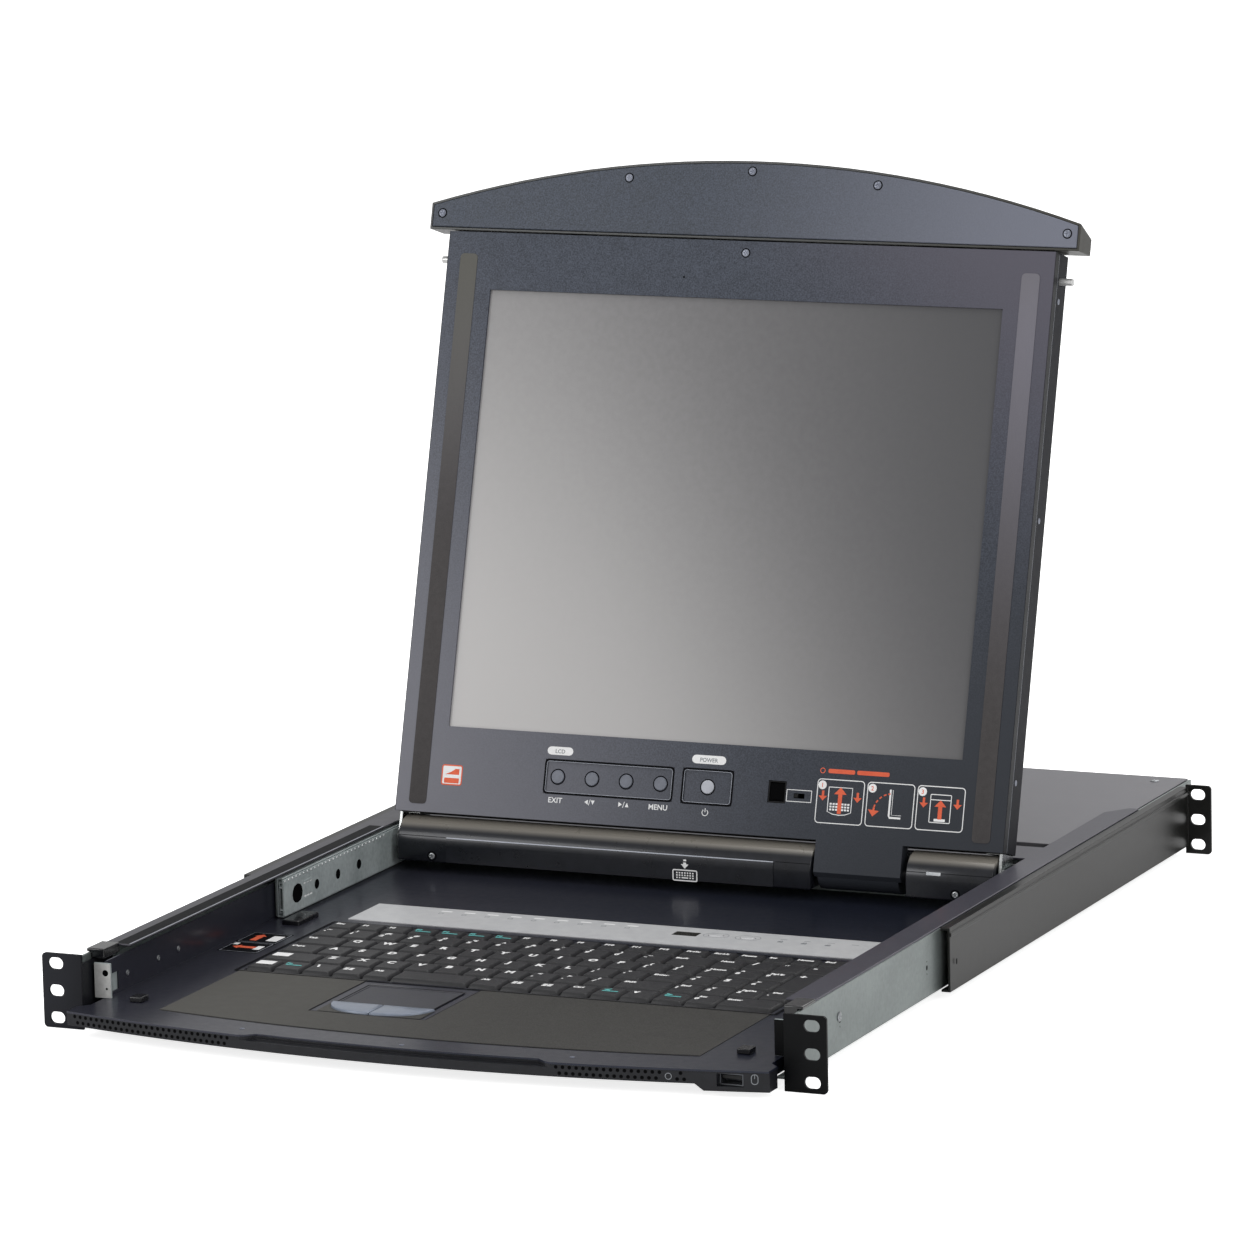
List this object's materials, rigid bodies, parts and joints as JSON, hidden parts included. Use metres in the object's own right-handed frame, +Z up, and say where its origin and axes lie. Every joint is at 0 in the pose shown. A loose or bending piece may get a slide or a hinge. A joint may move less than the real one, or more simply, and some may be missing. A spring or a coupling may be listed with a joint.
{
  "type": "rackmount lcd console drawer",
  "caption": "Rack console drawer whose flip-up display and keyboard tray slide out separately on ball-bearing rails inside a 1U frame with ears at the front and rear.",
  "frame": {"origin": "middle of the front rack slot pattern, on the front face of the front ears", "axes": "+X to the right seen from the front, +Y back into the rack, +Z up"},
  "size_m": [0.4826, 0.704, 0.4447],
  "materials": {
    "rail": "zinc plated",
    "frame_paint": "satin",
    "cover_sheet": "satin",
    "ear_paint": "satin",
    "cap_plastic": "gloss",
    "slide_zinc": "zinc plated",
    "screw_steel": "plain",
    "board": "matte",
    "supply_case": "satin",
    "inlet_plastic": "matte",
    "connector_shell": "plain",
    "bracket_paint": "satin",
    "hinge_paint": "satin",
    "beam_steel": "plain",
    "shaft_steel": "ground",
    "bezel_paint": "metallic paint",
    "back_paint": "satin",
    "screen": "matte, unlit",
    "handle_paint": "metallic paint",
    "handle_rim": "satin",
    "grip_strip": "matte",
    "arm_steel": "bright",
    "port_plastic": "matte",
    "button_plastic": "satin",
    "pin_steel": "plain",
    "tray_paint": "satin",
    "bar_paint": "satin",
    "film": "matte",
    "key_base": "matte",
    "key_plastic": "satin",
    "strip_silver": "brushed",
    "touch_surface": "matte",
    "touch_button": "satin",
    "usb_shell": "plain",
    "bumper_rubber": "matte"
  },
  "bodies": {
    "chassis": {"side_rail_left": "rail", "side_rail_right": "rail", "top_frame": "frame_paint", "rear_cover": "cover_sheet", "base_pan": "rail", "rear_panel": "frame_paint", "rack_ear_left": "ear_paint", "rack_ear_right": "ear_paint", "end_caps": "cap_plastic", "slide_hangers": "rail", "lcd_slide_channels": "slide_zinc", "tray_slide_channels": "slide_zinc", "chassis_screws": "screw_steel", "main_board": "board", "power_supply": "supply_case", "power_inlet": "inlet_plastic", "port_connectors": "connector_shell"},
    "rear_bracket_left": {"rear_bracket_left": "bracket_paint"},
    "rear_bracket_right": {"rear_bracket_right": "bracket_paint"},
    "lcd_middles": {"lcd_slide_middles": "slide_zinc"},
    "tray_middles": {"tray_slide_middles": "slide_zinc"},
    "carrier": {"lcd_slide_members": "slide_zinc", "hinge_bar_left": "hinge_paint", "hinge_bar_right": "hinge_paint", "carrier_beam": "beam_steel", "hinge_shafts": "shaft_steel"},
    "lcd": {"lcd_bezel": "bezel_paint", "lcd_back_cover": "back_paint", "lcd_panel": "screen", "handle_plate": "handle_paint", "handle_shell": "handle_rim", "grip_strips": "grip_strip", "hinge_arms": "arm_steel", "upgrade_port": "port_plastic"},
    "catch_pin_left": {"catch_pin_left": "pin_steel"},
    "catch_pin_right": {"catch_pin_right": "pin_steel"},
    "osd_button_1": {"osd_button_1": "button_plastic"},
    "osd_button_2": {"osd_button_2": "button_plastic"},
    "osd_button_3": {"osd_button_3": "button_plastic"},
    "osd_button_4": {"osd_button_4": "button_plastic"},
    "power_button": {"power_button": "button_plastic"},
    "mode_switch_knob": {"mode_switch_knob": "port_plastic"},
    "tray": {"tray_deck": "tray_paint", "tray_bottom": "tray_paint", "front_bar": "bar_paint", "palm_film": "film", "keyboard_base": "key_base", "status_strip": "strip_silver", "touchpad": "touch_surface", "usb_port": "usb_shell", "tray_slide_members": "slide_zinc", "rest_bumpers": "bumper_rubber"},
    "function_keys": {"function_keys": "key_plastic"},
    "typing_keys": {"typing_keys": "key_plastic"},
    "bottom_keys": {"bottom_keys": "key_plastic"},
    "number_keys": {"number_keys": "key_plastic"},
    "strip_button_left": {"strip_button_left": "button_plastic"},
    "strip_button_right": {"strip_button_right": "button_plastic"},
    "touchpad_button_left": {"touchpad_button_left": "touch_button"},
    "touchpad_button_right": {"touchpad_button_right": "touch_button"}
  },
  "joints": [
    {"name": "carrier_slide", "type": "slide", "parent": "chassis", "child": "carrier", "axis": [0, -1, 0], "range_m": [0, 0.38]},
    {"name": "lcd_middle_slide", "type": "slide", "parent": "chassis", "child": "lcd_middles", "axis": [0, -1, 0], "range_m": [0, 0.19]},
    {"name": "tray_slide", "type": "slide", "parent": "chassis", "child": "tray", "axis": [0, -1, 0], "range_m": [0, 0.38]},
    {"name": "tray_middle_slide", "type": "slide", "parent": "chassis", "child": "tray_middles", "axis": [0, -1, 0], "range_m": [0, 0.19]},
    {"name": "rear_bracket_left_slide", "type": "slide", "parent": "chassis", "child": "rear_bracket_left", "axis": [0, 1, 0], "range_m": [-0.06, 0.07]},
    {"name": "rear_bracket_right_slide", "type": "slide", "parent": "chassis", "child": "rear_bracket_right", "axis": [0, 1, 0], "range_m": [-0.06, 0.07]},
    {"name": "lcd_hinge", "type": "hinge", "parent": "carrier", "child": "lcd", "pos_m": [0, 0.3853, 0.01055], "axis": [1, 0, 0], "range_deg": [-10, 106.4]},
    {"name": "catch_pin_left_slide", "type": "slide", "parent": "lcd", "child": "catch_pin_left", "axis": [1, 0, 0], "range_m": [0, 0.007], "stiffness_N_per_m": 300},
    {"name": "catch_pin_right_slide", "type": "slide", "parent": "lcd", "child": "catch_pin_right", "axis": [-1, 0, 0], "range_m": [0, 0.007], "stiffness_N_per_m": 300},
    {"name": "mode_switch_slide", "type": "slide", "parent": "lcd", "child": "mode_switch_knob", "axis": [1, 0, 0], "range_m": [0, 0.003]},
    {"name": "osd_button_1_press", "type": "slide", "parent": "lcd", "child": "osd_button_1", "axis": [0, 0.9593, -0.2823], "range_m": [0, 0.0006], "stiffness_N_per_m": 400},
    {"name": "osd_button_2_press", "type": "slide", "parent": "lcd", "child": "osd_button_2", "axis": [0, 0.9593, -0.2823], "range_m": [0, 0.0006], "stiffness_N_per_m": 400},
    {"name": "osd_button_3_press", "type": "slide", "parent": "lcd", "child": "osd_button_3", "axis": [0, 0.9593, -0.2823], "range_m": [0, 0.0006], "stiffness_N_per_m": 400},
    {"name": "osd_button_4_press", "type": "slide", "parent": "lcd", "child": "osd_button_4", "axis": [0, 0.9593, -0.2823], "range_m": [0, 0.0006], "stiffness_N_per_m": 400},
    {"name": "power_button_press", "type": "slide", "parent": "lcd", "child": "power_button", "axis": [0, 0.9593, -0.2823], "range_m": [0, 0.0006], "stiffness_N_per_m": 400},
    {"name": "function_keys_press", "type": "slide", "parent": "tray", "child": "function_keys", "axis": [0, 0, -1], "range_m": [0, 0.002], "stiffness_N_per_m": 1500, "springref_m": -0.0006},
    {"name": "typing_keys_press", "type": "slide", "parent": "tray", "child": "typing_keys", "axis": [0, 0, -1], "range_m": [0, 0.002], "stiffness_N_per_m": 4000, "springref_m": -0.0006},
    {"name": "bottom_keys_press", "type": "slide", "parent": "tray", "child": "bottom_keys", "axis": [0, 0, -1], "range_m": [0, 0.002], "stiffness_N_per_m": 2000, "springref_m": -0.0006},
    {"name": "number_keys_press", "type": "slide", "parent": "tray", "child": "number_keys", "axis": [0, 0, -1], "range_m": [0, 0.002], "stiffness_N_per_m": 1500, "springref_m": -0.0006},
    {"name": "strip_button_left_press", "type": "slide", "parent": "tray", "child": "strip_button_left", "axis": [0, 0, -1], "range_m": [0, 0.0004], "stiffness_N_per_m": 400, "springref_m": -0.0003},
    {"name": "strip_button_right_press", "type": "slide", "parent": "tray", "child": "strip_button_right", "axis": [0, 0, -1], "range_m": [0, 0.0004], "stiffness_N_per_m": 400, "springref_m": -0.0003},
    {"name": "touchpad_button_left_press", "type": "slide", "parent": "tray", "child": "touchpad_button_left", "axis": [0, 0, -1], "range_m": [0, 0.0006], "stiffness_N_per_m": 400, "springref_m": -0.0003},
    {"name": "touchpad_button_right_press", "type": "slide", "parent": "tray", "child": "touchpad_button_right", "axis": [0, 0, -1], "range_m": [0, 0.0006], "stiffness_N_per_m": 400, "springref_m": -0.0003}
  ],
  "couplings": [
    {"joint": "lcd_middle_slide", "follows": "carrier_slide", "ratio": 0.5},
    {"joint": "tray_middle_slide", "follows": "tray_slide", "ratio": 0.5}
  ]
}
